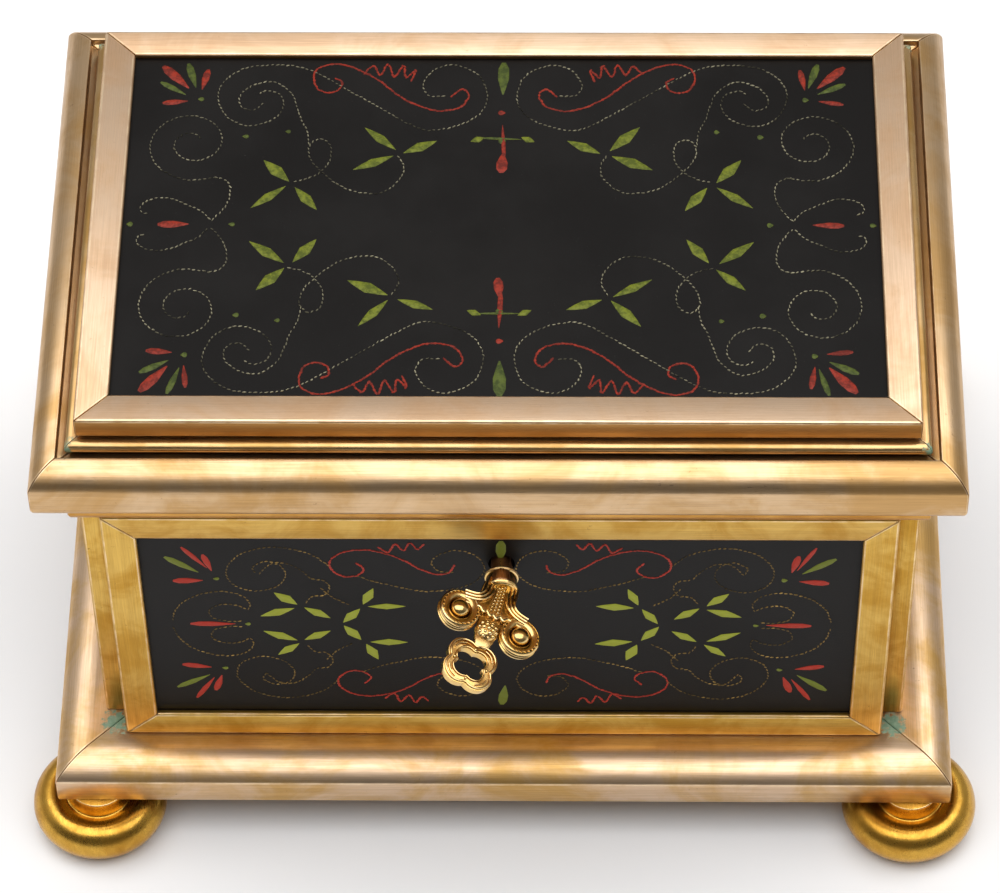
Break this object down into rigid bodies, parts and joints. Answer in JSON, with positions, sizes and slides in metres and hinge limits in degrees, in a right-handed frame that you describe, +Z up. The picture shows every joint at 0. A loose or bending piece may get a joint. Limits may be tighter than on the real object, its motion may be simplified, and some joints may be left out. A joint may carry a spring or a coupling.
{
  "type": "wind up music box",
  "caption": "Bronze-framed jewel casket on bun feet, with a hinged lid, a key lock, a velvet well, and a key-wound cylinder movement under a glass cover.",
  "frame": {"origin": "on the table under the middle of the footprint: the feet, and the key that stands out in front of them", "axes": "+X to the right along the length, -Y is the front with the lock, +Z up"},
  "size_m": [0.1946, 0.1496, 0.124],
  "materials": {
    "gilt_bronze": "aged gilt bronze, brushed and mottled, with verdigris in the corners",
    "lacquer": "black enamel with painted scrolls and leaf sprays",
    "wood": "oiled walnut",
    "velvet": "crimson velvet",
    "satin": "buttoned cream satin",
    "steel": "brushed",
    "movement_brass": "turned and lacquered brass",
    "glass": "clear",
    "key_brass": "cast and chased brass, worn bright on the edges"
  },
  "bodies": {
    "casket": {"base_moulding": "gilt_bronze", "floor_board": "wood", "bun_feet": "gilt_bronze", "foot_studs": "steel", "front_frame": "gilt_bronze", "rear_frame": "gilt_bronze", "left_frame": "gilt_bronze", "right_frame": "gilt_bronze", "front_panel": "lacquer", "rear_panel": "lacquer", "left_panel": "lacquer", "right_panel": "lacquer", "rim_moulding": "gilt_bronze", "carcass": "wood", "battens": "wood", "soundboard": "wood", "partition_boards": "wood", "well_lining": "velvet", "well_cushion": "velvet", "cover_frame": "movement_brass", "cover_glass": "glass", "hinge_case_leaves": "gilt_bronze", "hinge_pins": "steel", "lock_case": "movement_brass", "lock_cap": "movement_brass", "bedplate": "movement_brass", "bed_screws": "steel", "movement_brackets": "movement_brass", "comb_base": "movement_brass", "comb": "steel", "comb_screws": "steel", "drum_bridge": "movement_brass", "governor_cock": "movement_brass"},
    "lid": {"lid_moulding": "gilt_bronze", "lid_bead": "gilt_bronze", "lid_slab_frame": "gilt_bronze", "lid_panel": "lacquer", "lid_board": "wood", "lid_pad": "satin", "hinge_lid_leaves": "gilt_bronze", "lock_staple": "movement_brass", "staple_screws": "steel"},
    "key": {"key_shank": "key_brass", "key_bow": "key_brass", "lock_cam": "steel"},
    "bolt": {"lock_bolt": "steel"},
    "winder": {"winding_key": "movement_brass", "winding_arbor": "steel", "ratchet_wheel": "steel"},
    "click_arm": {"click": "steel"},
    "drum": {"spring_drum": "movement_brass", "mainspring": "steel"},
    "cylinder_train": {"cylinder": "movement_brass", "cylinder_arbor": "steel", "crown_pinion": "steel", "great_wheel": "movement_brass"},
    "governor": {"governor_wheel": "movement_brass"},
    "fly": {"fly_worm": "steel", "fly_wings": "movement_brass"},
    "stop": {"stop_rod": "movement_brass"}
  },
  "joints": [
    {"name": "lid_hinge", "type": "hinge", "parent": "casket", "child": "lid", "pos_m": [0, 0.05917, 0.1036], "axis": [-1, 0, 0], "range_deg": [0, 98]},
    {"name": "key_turn", "type": "hinge", "parent": "casket", "child": "key", "pos_m": [0.0003, -0.03753, 0.0797], "axis": [0, 1, 0], "range_deg": [0, 90]},
    {"name": "bolt_slide", "type": "slide", "parent": "casket", "child": "bolt", "axis": [1, 0, 0], "range_m": [0, 0.00878]},
    {"name": "winding_turn", "type": "hinge", "parent": "casket", "child": "winder", "pos_m": [-0.053, 0.00847, 0.0707], "axis": [0, 0, -1], "continuous": true},
    {"name": "click_lift", "type": "hinge", "parent": "casket", "child": "click_arm", "pos_m": [-0.053, 0.02007, 0.0707], "axis": [0, 0, -1], "range_deg": [0, 12]},
    {"name": "cylinder_spin", "type": "hinge", "parent": "casket", "child": "cylinder_train", "pos_m": [0, 0.00847, 0.07], "axis": [1, 0, 0], "continuous": true},
    {"name": "drum_spin", "type": "hinge", "parent": "casket", "child": "drum", "pos_m": [-0.053, 0.00847, 0.06], "axis": [0, 0, 1], "continuous": true},
    {"name": "governor_spin", "type": "hinge", "parent": "casket", "child": "governor", "pos_m": [0.0215, 0.02147, 0.0625], "axis": [1, 0, 0], "continuous": true},
    {"name": "fly_spin", "type": "hinge", "parent": "casket", "child": "fly", "pos_m": [0.0215, 0.02897, 0.0625], "axis": [0, 0, 1], "continuous": true},
    {"name": "stop_rod_slide", "type": "slide", "parent": "casket", "child": "stop", "axis": [0, 0, 1], "range_m": [0, 0.00401]}
  ],
  "couplings": [
    {"joint": "bolt_slide", "follows": "key_turn", "m_per_rad": 0.005582},
    {"joint": "stop_rod_slide", "follows": "lid_hinge", "m_per_rad": 0.0023386},
    {"joint": "drum_spin", "follows": "cylinder_spin", "ratio": 0.33333},
    {"joint": "governor_spin", "follows": "cylinder_spin", "ratio": -5},
    {"joint": "fly_spin", "follows": "cylinder_spin", "ratio": 60}
  ]
}
